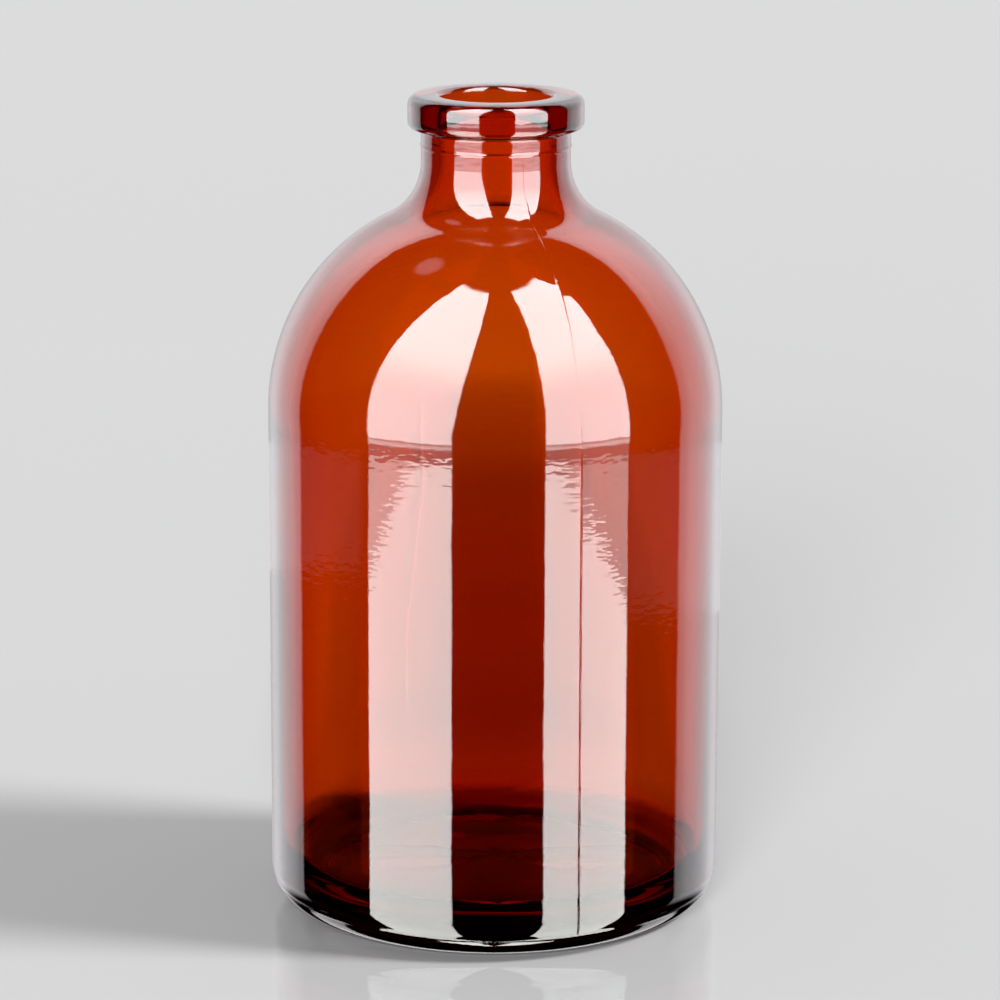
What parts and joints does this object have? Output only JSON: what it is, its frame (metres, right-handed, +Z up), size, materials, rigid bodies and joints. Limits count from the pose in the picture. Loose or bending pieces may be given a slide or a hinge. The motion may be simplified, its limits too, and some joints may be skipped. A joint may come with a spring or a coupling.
{
  "type": "glass injection bottle",
  "caption": "Open amber moulded-glass injection bottle with a domed shoulder, a flared neck and a crimp flange.",
  "frame": {"origin": "centre of the ring that the bottle stands on", "axes": "+Z up the bottle's axis, towards the mouth; the front is towards -Y"},
  "size_m": [0.052, 0.052, 0.0944],
  "materials": {
    "amber_glass": "smooth glossy amber glass, as moulded"
  },
  "bodies": {
    "root": {"bottle": "amber_glass"}
  },
  "joints": []
}
